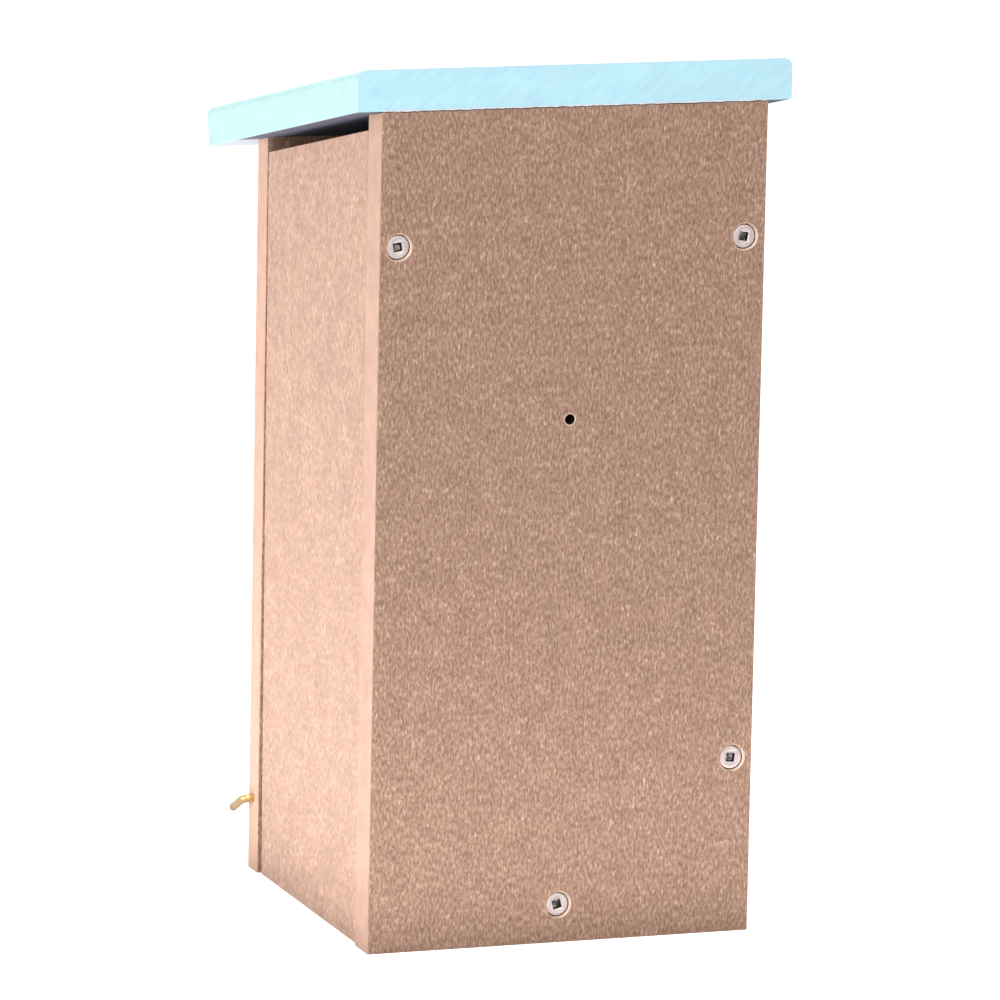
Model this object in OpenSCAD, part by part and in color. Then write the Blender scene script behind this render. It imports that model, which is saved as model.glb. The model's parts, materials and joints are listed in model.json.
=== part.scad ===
// Bluebird nest box of recycled plastic boards, in millimetres.
// +Z is up, the entrance hole faces -Y and the clean-out door is on the +X side.
// The origin is the centre of the mounting hole on the rear face of the back panel.

/* [Nest space] */
// Width of the nest space between the side boards
nest_w = 106.4; // [90:0.1:140]
// Depth of the nest space between the front and back panels
nest_d = 105; // [90:0.1:140]
// Height of the roof's underside above the foot of the walls, at the rear face
back_h = 278.2; // [240:0.1:340]
// Height of the floor's underside above the foot of the walls
floor_recess = 6.1; // [2:0.5:12]

/* [Boards] */
// Thickness of the back panel
back_t = 13.2; // [10:0.1:20]
// Thickness of the front panel
front_t = 11; // [10:0.1:20]
// Thickness of the door and of the fixed side
side_t = 13.3; // [12:0.1:20]
// Thickness of the floor
floor_t = 13.3; // [10:0.1:20]
// Thickness of the roof board
roof_t = 13.3; // [10:0.1:18]
// Radius of the eased upright edges of the door and of the fixed side
edge_r = 0.8; // [0.3:0.1:1.5]
// Radius of the back panel's crisper upright edges
back_edge_r = 0.4; // [0.2:0.1:1.5]
// Radius of the front panel's two outer upright edges
front_edge_r = 1.5; // [0.3:0.1:3]

/* [Roof] */
// Slope of the roof, falling to the front, in degrees
roof_slope = 12.25; // [8:0.05:18]
// Slope of the back panel's sawn top, flatter than the roof, so that the two touch at its inner edge
back_bevel = 10.95; // [6:0.05:18]
// Length of the roof board along its underside
roof_len = 160.8; // [155:0.5:200]
// Overhang of the roof beyond each side
roof_side_overhang = 8.1; // [4:0.1:20]
// Radius of the roof board's upper long edges
roof_edge_r = 2.8; // [0.5:0.1:4]
// Radius of its crisper lower long edges
roof_low_edge_r = 0.5; // [0.2:0.1:2]
// Distance of the roof screws from the centre plane
roof_screw_x = 31; // [20:0.5:45]

/* [Openings] */
// Diameter of the entrance hole
entrance_d = 38.1; // [30:0.1:45]
// Diameter of the mounting hole in the back panel
mount_d = 3.6; // [3:0.1:6]
// Height of the mounting hole and of the entrance hole above the foot
mount_height = 175.1; // [165:0.5:185]
// Height of the vent gap under the roof, above the door and the fixed side
vent_gap = 5.1; // [4:0.1:8]
// Diameter of the floor's drain holes
drain_d = 8; // [5:0.5:12]
// Distance of each drain hole from the centre of the floor, along both sides
drain_offset = 34; // [25:0.5:38]

/* [Fledgling ladder] */
// Number of climbing grooves inside the front panel
groove_count = 6; // [3:1:7]
// Width of each groove across the panel
groove_w = 64; // [40:1:80]
// Height of each groove
groove_h = 2.4; // [1.5:0.1:4]
// Depth of each groove
groove_depth = 1.6; // [0.8:0.1:3]
// Distance from one groove to the next
groove_pitch = 15; // [10:0.5:18]
// Distance from the centre of the entrance hole down to the first groove
groove_drop = 36; // [28:0.5:45]

/* [Clean-out door] */
// Distance of the pivot screws below the roof's underside at the rear face
pivot_drop = 44.3; // [38:0.1:60]
// Distance of the pivot screws from the door's outer face
pivot_inset = 6.3; // [5.5:0.1:8]
// Inward lean of the closed door, in degrees
door_lean = 0.2; // [0:0.05:0.6]
// Gap between the door and the back panel
door_gap_rear = 0.4; // [0.3:0.1:1.5]
// Gap between the door and the front panel, at the roof
door_gap_front = 1.2; // [0.3:0.1:2]
// How much wider that gap is at the foot, where the door is sawn a little out of square
door_gap_spread = 1.4; // [0:0.1:3]
// Gap under the door's foot
door_foot_gap = 0.3; // [0.2:0.1:3]
// Gap between the closed door and the floor's edge
door_stop_gap = 0.3; // [0.2:0.05:1]

/* [Latch hook] */
// Diameter of the hook's rod
hook_d = 2.8; // [2:0.1:3.5]
// Height of the hook above the foot
hook_height = 24.9; // [15:0.1:60]
// Distance from the box to the middle of the hook's arm
hook_reach = 3.4; // [3:0.1:8]
// Length of the arm from the middle of the shank to its end
hook_arm = 12.8; // [10:0.1:25]
// Radius of the bend along the middle of the rod
hook_bend_r = 2.4; // [1.9:0.1:3]
// Length of the shank inside the front panel
hook_depth = 18; // [10:0.5:25]
// Angle of the turned-away arm below the level, in degrees
hook_dip = 26; // [0:1:45]
// Radial play of the hook's shank in its hole
hook_play = 0.05; // [0.02:0.01:0.08]

/* [Screws] */
// Length of the screws
screw_len = 38; // [30:0.5:40]
// Diameter of the shank
screw_d = 4.2; // [3.5:0.1:4.5]
// Diameter of the flat head
head_d = 7.6; // [7:0.1:9]
// Cone angle of the head, in degrees
head_angle = 82; // [80:1:100]
// Height of the head's rim
head_rim = 0.45; // [0.1:0.05:0.6]
// Depth of the head's top below the board's face
head_sink = 0.4; // [0.1:0.05:0.6]
// Width across the flats of the square drive
drive_w = 2.9; // [2.2:0.1:3]
// Depth of the square drive
drive_depth = 1.9; // [1.5:0.1:2.5]
// Radial play of the screws in their holes
screw_play = 0.06; // [0.03:0.01:0.09]
// Distance of the fixed side's screws from the box's outer face
side_screw_inset = 7.3; // [6:0.1:9]
// Distance of the upper side screws below the roof's underside at the rear face
side_screw_drop = 44.8; // [40:0.1:60]
// Height of the lower side screws above the foot
side_screw_low = 59; // [40:0.1:80]
// Distance of the rear floor screw from the centre plane, towards the door
floor_screw_x = 0.8; // [-5:0.1:5]

/* [Hidden] */
$fn = 64;

board_color = "#b4937b";
roof_color = "#bfe6f6";
steel_color = "#c9ccd0";
brass_color = "#c9a23c";

box_w = nest_w + 2 * side_t;
box_d = back_t + nest_d + front_t;
half_w = box_w / 2;
front_y = -box_d;
front_inner_y = -back_t - nest_d;
base_z = -mount_height;
top_z = base_z + back_h;
floor_z = base_z + floor_recess;
floor_mid_y = -back_t - nest_d / 2;
floor_mid_z = floor_z + floor_t / 2;
entrance_z = 0;
roof_half_w = half_w + roof_side_overhang;

pivot_x = half_w - pivot_inset;
pivot_z = top_z - pivot_drop;
door_w = nest_d - door_gap_rear - door_gap_front;
// How far the leaning door's inner face comes into the nest space at the floor's underside
lean_at_floor = (pivot_z - floor_z) * tan(door_lean);
door_front_slant = atan(door_gap_spread / back_h);
hook_y = front_y + front_t / 2;
hook_z = base_z + hook_height;

side_screw_x = -half_w + side_screw_inset;
side_screw_top_z = top_z - side_screw_drop;
side_screw_low_z = base_z + side_screw_low;

shank_r = screw_d / 2;
head_r = head_d / 2;
cone_slope = tan(head_angle / 2);
cone_h = (head_r - shank_r) / cone_slope;
tip_h = 2 * screw_d;
// Height of the cone under the square drive
drive_cone_h = drive_w / 4;
// Room left between a screw's tip and the end of its hole
hole_end = 1;
// How far a cutting shape runs past the face that it opens
past = 1;

// Height of the roof's underside where its depth is y
function roof_under(y) = top_z + y * tan(roof_slope);

// Rectangle of width w and depth d, centred on X, from y = 0, its corners there rounded by near_r
// and those at y = d by far_r
module eased_rect(w, d, near_r, far_r) {
    translate([-w / 2 + near_r, 0]) square([w - 2 * near_r, d - far_r]);
    translate([-w / 2, near_r]) square([w, d - near_r - far_r]);
    translate([-w / 2 + far_r, near_r]) square([w - 2 * far_r, d - near_r]);
    for (side = [-1, 1]) {
        translate([side * (w / 2 - near_r), near_r]) circle(near_r);
        translate([side * (w / 2 - far_r), d - far_r]) circle(far_r);
    }
}

// Upright board from y = 0 to y = -t, standing on the foot of the walls
module upright(w, t, h, near_r = edge_r, far_r = edge_r) {
    translate([0, -t, base_z]) linear_extrude(h) eased_rect(w, t, near_r, far_r);
}

// Everything higher than a plane that lies gap below the roof's underside
module above_slope(gap) {
    translate([0, 0, top_z - gap]) rotate([roof_slope, 0, 0])
        translate([-box_w, -2 * box_d, 0]) cube([2 * box_w, 3 * box_d, back_h]);
}

// Flat-head screw along -Z with the board's face at z = 0, its square drive turned by turn from upright
module screw(turn) {
    color(steel_color) difference() {
        rotate_extrude() polygon([
            [0, -head_sink], [head_r, -head_sink], [head_r, -head_sink - head_rim],
            [shank_r, -head_sink - head_rim - cone_h],
            [shank_r, -head_sink - screw_len + tip_h],
            [0, -head_sink - screw_len]
        ]);
        translate([0, 0, -head_sink - drive_depth]) {
            rotate(turn + 45) cylinder(r = drive_w / sqrt(2), h = drive_depth + past, $fn = 4);
            translate([0, 0, -drive_cone_h]) cylinder(r1 = 0, r2 = drive_w / 2, h = drive_cone_h, $fn = 32);
        }
    }
}

// Countersunk hole that holds the screw with its play
module screw_hole() {
    cone_end = -head_sink - head_rim - cone_h;
    wall_r = shank_r + screw_play;
    rotate_extrude() polygon([
        [0, past], [wall_r + (past - cone_end) * cone_slope, past],
        [wall_r, cone_end], [wall_r, -head_sink - screw_len - hole_end],
        [0, -head_sink - screw_len - hole_end]
    ]);
}

// Places for a screw: in the rear face, the front face, the fixed side's face and the roof
module at_rear(x, z) {
    translate([x, 0, z]) rotate([-90, 0, 0]) children();
}

module at_front(x, z) {
    translate([x, front_y, z]) rotate([90, 0, 0]) children();
}

module at_fixed_side(y, z) {
    translate([-half_w, y, z]) rotate([0, -90, 0]) children();
}

// A roof screw is square to the roof, and its middle in the wall below is at depth y
module at_roof(x, y) {
    reach = screw_len - roof_t;
    translate([x, y, roof_under(y)]) rotate([roof_slope, 0, 0])
        translate([0, -reach / 2 * tan(roof_slope), roof_t]) children();
}

module side_screw_places(face) {
    for (z = [side_screw_top_z, side_screw_low_z])
        if (face == "rear") at_rear(side_screw_x, z) children();
        else at_front(side_screw_x, z) children();
}

module roof_screw_places(y) {
    for (x = [-roof_screw_x, roof_screw_x]) at_roof(x, y) children();
}

module back_panel() {
    color(board_color) difference() {
        upright(box_w, back_t, back_h, back_edge_r, back_edge_r);
        translate([0, -back_t, roof_under(-back_t)]) rotate([back_bevel, 0, 0])
            translate([-box_w, -box_d, 0]) cube([2 * box_w, 2 * box_d, back_h]);
        translate([0, past, 0]) rotate([90, 0, 0]) cylinder(d = mount_d, h = back_t + 2 * past);
        at_rear(pivot_x, pivot_z) screw_hole();
        side_screw_places("rear") screw_hole();
        at_rear(floor_screw_x, floor_mid_z) screw_hole();
        roof_screw_places(-back_t / 2) screw_hole();
    }
}

module front_panel() {
    color(board_color) difference() {
        translate([0, front_inner_y, 0]) upright(box_w, front_t, back_h, front_edge_r, back_edge_r);
        above_slope(0);
        translate([0, front_inner_y + past, entrance_z]) rotate([90, 0, 0])
            cylinder(d = entrance_d, h = front_t + 2 * past, $fn = 96);
        for (i = [0 : groove_count - 1])
            translate([0, front_inner_y + past, entrance_z - groove_drop - i * groove_pitch]) ladder_groove();
        at_front(pivot_x, pivot_z) screw_hole();
        side_screw_places("front") screw_hole();
        at_front(0, floor_mid_z) screw_hole();
        roof_screw_places(hook_y) screw_hole();
        hook_hole();
    }
}

// Milled groove with round ends, cut into a face that looks to +Y
module ladder_groove() {
    cut = past + groove_depth;
    straight = groove_w - groove_h;
    translate([-straight / 2, -cut, -groove_h / 2]) cube([straight, cut, groove_h]);
    for (x = [-straight / 2, straight / 2])
        translate([x, 0, 0]) rotate([90, 0, 0]) cylinder(d = groove_h, h = cut);
}

module fixed_side() {
    color(board_color) difference() {
        translate([-half_w + side_t / 2, -back_t, 0]) upright(side_t, nest_d, back_h);
        above_slope(vent_gap);
        side_screw_places("rear") screw_hole();
        side_screw_places("front") screw_hole();
        at_fixed_side(floor_mid_y, floor_mid_z) screw_hole();
    }
}

// The door leans in about its pivots until its foot lies against the floor's edge
module door() {
    foot = base_z + door_foot_gap;
    color(board_color) difference() {
        translate([pivot_x, 0, pivot_z]) rotate([0, door_lean, 0]) translate([-pivot_x, 0, -pivot_z])
            intersection() {
                translate([half_w - side_t / 2, -back_t - door_gap_rear, 0]) upright(side_t, door_w, back_h);
                translate([0, -box_d, foot]) cube([box_w, box_d, back_h]);
            }
        above_slope(vent_gap);
        translate([0, front_inner_y + door_gap_front, top_z]) rotate([door_front_slant, 0, 0])
            translate([0, -box_d, -2 * back_h]) cube([box_w, box_d, 3 * back_h]);
        at_rear(pivot_x, pivot_z) screw_hole();
        at_front(pivot_x, pivot_z) screw_hole();
    }
}

module floor_panel() {
    floor_w = nest_w - lean_at_floor - door_stop_gap;
    color(board_color) difference() {
        translate([-nest_w / 2, -back_t - nest_d, floor_z]) cube([floor_w, nest_d, floor_t]);
        for (x = [-drain_offset, drain_offset], y = [-drain_offset, drain_offset])
            translate([x, floor_mid_y + y, floor_z - past]) cylinder(d = drain_d, h = floor_t + 2 * past);
        at_rear(floor_screw_x, floor_mid_z) screw_hole();
        at_front(0, floor_mid_z) screw_hole();
        at_fixed_side(floor_mid_y, floor_mid_z) screw_hole();
    }
}

// The roof board's rear end is sawn plumb, flush with the rear face
module roof_panel() {
    spare = roof_t * tan(roof_slope) + past;
    color(roof_color) difference() {
        translate([0, 0, top_z]) rotate([roof_slope, 0, 0]) translate([0, spare, 0]) rotate([90, 0, 0])
            linear_extrude(roof_len + spare)
                eased_rect(2 * roof_half_w, roof_t, roof_low_edge_r, roof_edge_r);
        translate([-2 * roof_half_w, 0, top_z - roof_t]) cube([4 * roof_half_w, 2 * spare, 3 * roof_t]);
        roof_screw_places(-back_t / 2) screw_hole();
        roof_screw_places(hook_y) screw_hole();
    }
}

// Hole for the hook's shank in the front panel's edge
module hook_hole() {
    translate([half_w - hook_depth - hole_end, hook_y, hook_z]) rotate([0, 90, 0])
        cylinder(r = hook_d / 2 + hook_play, h = hook_depth + hole_end + past);
}

// Square-bend hook: a shank along X, one bend and an arm that dips to the front
module latch_hook() {
    rod_r = hook_d / 2;
    ease = rod_r / 4;
    bend_x = half_w + hook_reach - hook_bend_r;
    color(brass_color) translate([0, hook_y, hook_z]) rotate([hook_dip, 0, 0]) {
        translate([half_w - hook_depth, 0, 0]) rotate([0, 90, 0]) cylinder(r = rod_r, h = bend_x - half_w + hook_depth);
        translate([bend_x, -hook_bend_r, 0]) rotate_extrude(angle = 90) translate([hook_bend_r, 0]) circle(rod_r);
        translate([half_w + hook_reach, -hook_bend_r, 0]) rotate([90, 0, 0]) rotate_extrude() polygon([
            [0, 0], [rod_r, 0], [rod_r, hook_arm - hook_bend_r - ease],
            [rod_r - ease, hook_arm - hook_bend_r], [0, hook_arm - hook_bend_r]
        ]);
    }
}

back_panel();
front_panel();
fixed_side();
door();
floor_panel();
roof_panel();
latch_hook();
at_rear(pivot_x, pivot_z) screw(8);  // pivot_screw_rear
at_front(pivot_x, pivot_z) screw(25);  // pivot_screw_front
at_rear(side_screw_x, side_screw_top_z) screw(-10);  // side_screw_rear_upper
at_rear(side_screw_x, side_screw_low_z) screw(-6);  // side_screw_rear_lower
at_front(side_screw_x, side_screw_top_z) screw(38);  // side_screw_front_upper
at_front(side_screw_x, side_screw_low_z) screw(-22);  // side_screw_front_lower
at_rear(floor_screw_x, floor_mid_z) screw(15);  // floor_screw_rear
at_front(0, floor_mid_z) screw(4);  // floor_screw_front
at_fixed_side(floor_mid_y, floor_mid_z) screw(-33);  // floor_screw_side
at_roof(roof_screw_x, -back_t / 2) screw(30);  // roof_screw_rear_left
at_roof(-roof_screw_x, -back_t / 2) screw(-15);  // roof_screw_rear_right
at_roof(roof_screw_x, hook_y) screw(5);  // roof_screw_front_left
at_roof(-roof_screw_x, hook_y) screw(42);  // roof_screw_front_right
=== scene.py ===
"""Finishes, screws, latch hook and studio for a bluebird nest box of recycled plastic boards.

The file is laid out as a Blender add-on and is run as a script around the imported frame.
Sizes are in metres, in the frame's own axes: +Z is up, +Y points out of the rear face,
-Y to the entrance hole and +X to the clean-out door.
"""

import json
import math

import bpy
from bpy.props import FloatProperty, FloatVectorProperty, PointerProperty
from mathutils import Matrix, Vector


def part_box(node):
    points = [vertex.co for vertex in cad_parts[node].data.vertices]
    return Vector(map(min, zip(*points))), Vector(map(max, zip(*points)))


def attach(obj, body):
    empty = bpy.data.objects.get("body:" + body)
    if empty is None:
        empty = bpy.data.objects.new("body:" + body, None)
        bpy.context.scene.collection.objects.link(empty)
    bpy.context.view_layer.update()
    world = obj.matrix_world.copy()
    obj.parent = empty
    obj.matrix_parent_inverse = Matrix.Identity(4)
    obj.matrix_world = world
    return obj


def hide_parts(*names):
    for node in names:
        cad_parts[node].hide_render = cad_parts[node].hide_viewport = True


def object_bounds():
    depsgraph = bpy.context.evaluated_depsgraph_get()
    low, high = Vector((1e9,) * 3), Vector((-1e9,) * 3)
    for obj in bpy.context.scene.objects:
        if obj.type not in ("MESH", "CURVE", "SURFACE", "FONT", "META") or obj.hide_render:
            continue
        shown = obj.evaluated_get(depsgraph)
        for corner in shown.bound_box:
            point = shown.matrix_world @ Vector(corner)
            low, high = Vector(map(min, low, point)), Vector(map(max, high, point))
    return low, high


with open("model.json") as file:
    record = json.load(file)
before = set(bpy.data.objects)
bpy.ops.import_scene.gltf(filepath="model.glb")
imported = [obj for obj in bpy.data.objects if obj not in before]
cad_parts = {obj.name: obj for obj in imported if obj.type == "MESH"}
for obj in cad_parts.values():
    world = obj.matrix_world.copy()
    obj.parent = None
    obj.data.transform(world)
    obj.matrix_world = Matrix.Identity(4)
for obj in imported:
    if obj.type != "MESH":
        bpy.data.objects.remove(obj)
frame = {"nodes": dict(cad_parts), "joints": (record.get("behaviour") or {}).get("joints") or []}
cad_low, cad_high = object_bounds()

bl_info = {
    "name": "Bluebird Nest Box",
    "version": (1, 0, 0),
    "blender": (4, 5, 0),
    "location": "View3D > Sidebar > Nest Box",
    "description": "Finishes, screws, latch hook and studio for a bluebird nest box",
    "category": "Object",
}

MM = 0.001

BOX_BODY = "box"
DOOR_BODY = "clean_out_door"
LATCH_BODY = "latch"

# Slope of the roof, falling to the front
ROOF_SLOPE = math.radians(12.25)

# Each screw node: the face that it is driven into and the turn of its square drive in degrees
SCREW_PLACES = {
    "pivot_screw_rear": ("rear", 8),
    "pivot_screw_front": ("front", 25),
    "side_screw_rear_upper": ("rear", -10),
    "side_screw_rear_lower": ("rear", -6),
    "side_screw_front_upper": ("front", 38),
    "side_screw_front_lower": ("front", -22),
    "floor_screw_rear": ("rear", 15),
    "floor_screw_front": ("front", 4),
    "floor_screw_side": ("fixed_side", -33),
    "roof_screw_rear_left": ("roof", 30),
    "roof_screw_rear_right": ("roof", -15),
    "roof_screw_front_left": ("roof", 5),
    "roof_screw_front_right": ("roof", 42),
}

# How far the screws' heads lie below the boards' faces
HEAD_SINK = 0.4 * MM

# Screws that turn with the door
DOOR_SCREWS = ("pivot_screw_rear", "pivot_screw_front")

# How far below the head's cone the thread starts, and the length of the point
THREAD_START = 9.0 * MM
TIP_LENGTH = 6.0 * MM

# The hook's shank in the panel: its plain neck, the step down to the thread's core, that core
# as a share of the rod, where the thread starts past the neck and the length of the point
HOOK_NECK = 1.0 * MM
HOOK_STEP = 0.4 * MM
HOOK_CORE = 0.78
HOOK_THREAD_START = 1.2 * MM
HOOK_POINT = 2.0 * MM

# The square drive: half the height of its eased mouth, the widths of that mouth and of its
# floor as shares of the square's, the size of its corners and the depth of the floor's hollow
DRIVE_EASE = 0.12 * MM
DRIVE_FLARE = 1.1
DRIVE_TAPER = 0.92
DRIVE_CORNER = 0.25 * MM
DRIVE_HOLLOW = 0.5 * MM

# Turn that takes a screw's own +Z to the outward direction of its face
FACE_TURNS = {
    "rear": Matrix.Rotation(math.radians(-90), 4, "X"),
    "front": Matrix.Rotation(math.radians(90), 4, "X"),
    "fixed_side": Matrix.Rotation(math.radians(-90), 4, "Y"),
    "roof": Matrix.Rotation(ROOF_SLOPE, 4, "X"),
}

# The board that each face belongs to
FACE_BOARDS = {
    "rear": "back_panel",
    "front": "front_panel",
    "fixed_side": "fixed_side",
    "roof": "roof_panel",
}

# Full angle of the countersinks in degrees
CUTTER_ANGLE = 82.0

# Numbers of sides of the heads and the rings round them and of the hook, and of steps in one
# turn of a thread
ROUND_SIDES = 64
HOOK_SIDES = 32
THREAD_STEPS = 20

# The boards' plastic: its refractive index and how deep its relief is
PLASTIC_IOR = 1.49
BOARD_RELIEF = 0.12 * MM

# The roof's gloss on its top and bottom and on its edges
ROOF_FLAT_GLOSS = 0.08
ROOF_EDGE_GLOSS = 0.3

# The saw marks on the roof's ends: how far they slant and how far they sway
SAW_TURN = math.radians(-46)
SAW_SWAY = 2.5 * MM

# Depth over which the roof's underside darkens, as painted shade, behind the front panel's outer face
UNDER_BLEND = 8.0 * MM

# How deep the relief of torn plastic and of the metals is
TORN_RELIEF = 0.1 * MM
METAL_RELIEF = 0.05 * MM

# A pattern that keeps its own scale
NO_STRETCH = (1.0, 1.0, 1.0)

# Distance within which points are merged, and how far the lips' points are moved at random
MERGE_DISTANCE = 0.0001 * MM
LIP_TEAR = 0.03 * MM
HOLE_LIP_TEAR = 0.04 * MM
HOLE_LIP_SEED = 41

# How deep the painted shade on the mounting hole's drilled wall goes
DRILLED_WALL_END = 11.0 * MM

# Painted shade: a dark colour for the gaps under the heads' rims and on the mounting hole's drilled
# wall, and for a dark ragged line in the seam under the roof's rear edge
GAP_SHADE_COLOR = (0.035, 0.014, 0.008)
SEAM_SHADE_COLOR = (0.05, 0.042, 0.05)

# Ragged threads along the roof's lower rear edge, the saw burr and a line of painted shade in the
# seam: thickness, height over the back panel and raggedness, then the cuts along each and the
# seed of their raggedness
BURR_SIZES = (0.4 * MM, 0.42 * MM, 0.13 * MM)
SEAM_SIZES = (0.3 * MM, 0.06 * MM, 0.16 * MM)
BURR_CUTS = 100
BURR_SEED = 5

# How far those threads stop short of the box's sides and lie inside the roof's rear edge
BURR_END_GAP = 0.6 * MM
BURR_INSET = 0.1 * MM

# Each board: its broad faces' axis, its grain's axis, the shift that gives it its own flecks,
# how strongly they show and how much paler its sawn edges are
BOARDS = {
    "back_panel": ("Y", "Z", (0.0, 0.0, 0.0), 1.0, 1.0),
    "front_panel": ("Y", "Z", (0.31, 0.17, 0.42), 1.0, 1.09),
    "fixed_side": ("X", "Z", (0.57, 0.23, 0.11), 0.75, 1.0),
    "door": ("X", "Z", (0.13, 0.41, 0.29), 0.75, 1.0),
    "floor_panel": ("Z", "Y", (0.47, 0.37, 0.19), 0.75, 1.0),
}

# Soft lamps: name, place, width and the studio setting that holds the power
LAMPS = (
    ("key_lamp", (0.75, 0.0, 0.12), 0.35, "key_power"),
    ("fill_lamp", (0.7, 2.0, 1.1), 1.4, "fill_power"),
    ("top_lamp", (0.1, 0.0, 1.6), 1.2, "top_power"),
)
LAMP_TARGET = (0.0, -0.06, -0.05)

# Colours of the light and of the floor, the floor's gap below the box's foot and the glowing
# patches' height over the foot
WHITE = (1.0, 1.0, 1.0, 1.0)
FLOOR_COLOR = (0.86, 0.84, 0.865, 1.0)
FLOOR_GAP = 0.05 * MM
PATCH_HEIGHT = 0.5 * MM

# Width of the camera's sensor in millimetres
SENSOR_WIDTH = 36.0

# Patches of floor that glow upwards: name, centre, width along X, depth along Y, brightness
# and whether shiny pieces mirror it
GLOW_PATCHES = (
    ("glow_behind_near", (0.0, 0.045), 0.5, 0.05, 1.4, False),
    ("glow_behind_far", (0.0, 0.095), 0.5, 0.05, 1.4, True),
    ("glow_beside_door", (0.23, -0.07), 0.28, 0.3, 2.85, False),
    ("glow_in_front", (0.0, -0.36), 0.7, 0.44, 1.35, False),
)


# Small helpers for shader nodes


def new_material(name):
    """An empty node material and its tree and shader."""
    material = bpy.data.materials.new(name)
    material.use_nodes = True
    tree = material.node_tree
    return material, tree, tree.nodes["Principled BSDF"]


def add_node(tree, kind, inputs=None, **settings):
    """A node with its settings, and its inputs linked to sockets or set to values."""
    node = tree.nodes.new(kind)
    for key, value in settings.items():
        setattr(node, key, value)
    for key, value in (inputs or {}).items():
        if isinstance(value, bpy.types.NodeSocket):
            tree.links.new(value, node.inputs[key])
        else:
            node.inputs[key].default_value = value
    return node


def math_node(tree, operation, *values):
    """The result of one sum on sockets or numbers."""
    inputs = dict(enumerate(values))
    return add_node(tree, "ShaderNodeMath", inputs, operation=operation).outputs[0]


def vector_math(tree, operation, *values):
    """The result of one sum on vectors."""
    inputs = dict(enumerate(values))
    return add_node(tree, "ShaderNodeVectorMath", inputs, operation=operation).outputs[0]


def mix_colors(tree, factor, first, second, blend="MIX"):
    """The colour that lies factor of the way from first to second."""
    node = add_node(tree, "ShaderNodeMix", {"Factor": factor}, data_type="RGBA", blend_type=blend)
    for socket, value in ((node.inputs[6], first), (node.inputs[7], second)):
        if isinstance(value, bpy.types.NodeSocket):
            tree.links.new(value, socket)
        else:
            socket.default_value = (*value[:3], 1.0)
    return node.outputs[2]


def noise_value(tree, coords, scale, detail=2.0, roughness=0.5):
    """Noise from 0 to 1 at a scale in features per metre."""
    node = add_node(
        tree,
        "ShaderNodeTexNoise",
        {"Vector": coords, "Scale": scale, "Detail": detail, "Roughness": roughness},
    )
    return node.outputs["Fac"]


def stretch(tree, coords, scale, shift=(0.0, 0.0, 0.0), turn=(0.0, 0.0, 0.0)):
    """Coordinates with a pattern's shift, turn and stretch applied."""
    node = add_node(
        tree,
        "ShaderNodeMapping",
        {"Vector": coords, "Location": shift, "Rotation": turn, "Scale": scale},
    )
    return node.outputs[0]


def ramp(tree, factor, stops):
    """A colour ramp through (place, colour) stops."""
    node = add_node(tree, "ShaderNodeValToRGB", {"Fac": factor})
    elements = node.color_ramp.elements
    while len(elements) < len(stops):
        elements.new(1.0)
    for element, (place, color) in zip(elements, stops):
        element.position = place
        element.color = (*color[:3], 1.0)
    return node.outputs[0]


def grey(value):
    """A neutral colour of that value."""
    return (value, value, value)


def dimmed(color, share):
    """That share of a colour's brightness."""
    return tuple(share * value for value in color)


def spread(tree, factor, low, high):
    """factor's values from low to high stretched to 0 to 1."""
    node = add_node(
        tree, "ShaderNodeMapRange", {0: factor, 1: low, 2: high, 3: 0.0, 4: 1.0}, clamp=True
    )
    return node.outputs[0]


def own_coords(tree):
    """The piece's own coordinates."""
    return tree.nodes.new("ShaderNodeTexCoord").outputs["Object"]


def own_normal(tree):
    """The piece's own normal."""
    return tree.nodes.new("ShaderNodeTexCoord").outputs["Normal"]


def add_relief(tree, shader, height, strength, distance):
    """Relief on the shader's surface from a height pattern."""
    bump = add_node(
        tree, "ShaderNodeBump", {"Height": height, "Strength": strength, "Distance": distance}
    )
    tree.links.new(bump.outputs[0], shader.inputs["Normal"])


def roughen(tree, shader, pattern, low, high):
    """Roughness that goes from low to high over the pattern."""
    stops = [(0.3, grey(low)), (0.7, grey(high))]
    tree.links.new(ramp(tree, pattern, stops), shader.inputs["Roughness"])


def paint(tree, shader, pattern, stops):
    """Base colour from a ramp through (place, colour) stops over the pattern."""
    tree.links.new(ramp(tree, pattern, stops), shader.inputs["Base Color"])


def finish_of(node_name):
    """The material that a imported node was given."""
    materials = frame["nodes"][node_name].data.materials
    if not materials or materials[0] is None:
        raise RuntimeError(f"{node_name} has no finish yet")
    return materials[0]


def set_finish(node_name, material):
    """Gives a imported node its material."""
    piece = frame["nodes"][node_name]
    piece.data.materials.clear()
    piece.data.materials.append(material)


# Small helpers for modelling


def clear_selection():
    """Nothing selected."""
    bpy.ops.object.select_all(action="DESELECT")


def only(*pieces):
    """Selects these pieces alone and makes the first one active."""
    clear_selection()
    for piece in pieces:
        piece.select_set(True)
    bpy.context.view_layer.objects.active = pieces[0]


def edit_by(kind):
    """Edit mode, picking by VERT, EDGE or FACE."""
    bpy.ops.object.mode_set(mode="EDIT")
    bpy.ops.mesh.select_mode(type=kind)


def edit_all(kind):
    """Edit mode, picking by that kind, with the whole mesh selected."""
    edit_by(kind)
    bpy.ops.mesh.select_all(action="SELECT")


def select_where(piece, kind, chosen):
    """Edit mode, with the piece's points, edges or faces selected that chosen() picks."""
    only(piece)
    edit_by(kind)
    bpy.ops.mesh.select_all(action="DESELECT")
    bpy.ops.object.mode_set(mode="OBJECT")
    mesh = piece.data
    parts = {"VERT": mesh.vertices, "EDGE": mesh.edges, "FACE": mesh.polygons}
    for part in parts[kind]:
        part.select = chosen(part)
    bpy.ops.object.mode_set(mode="EDIT")


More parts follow.
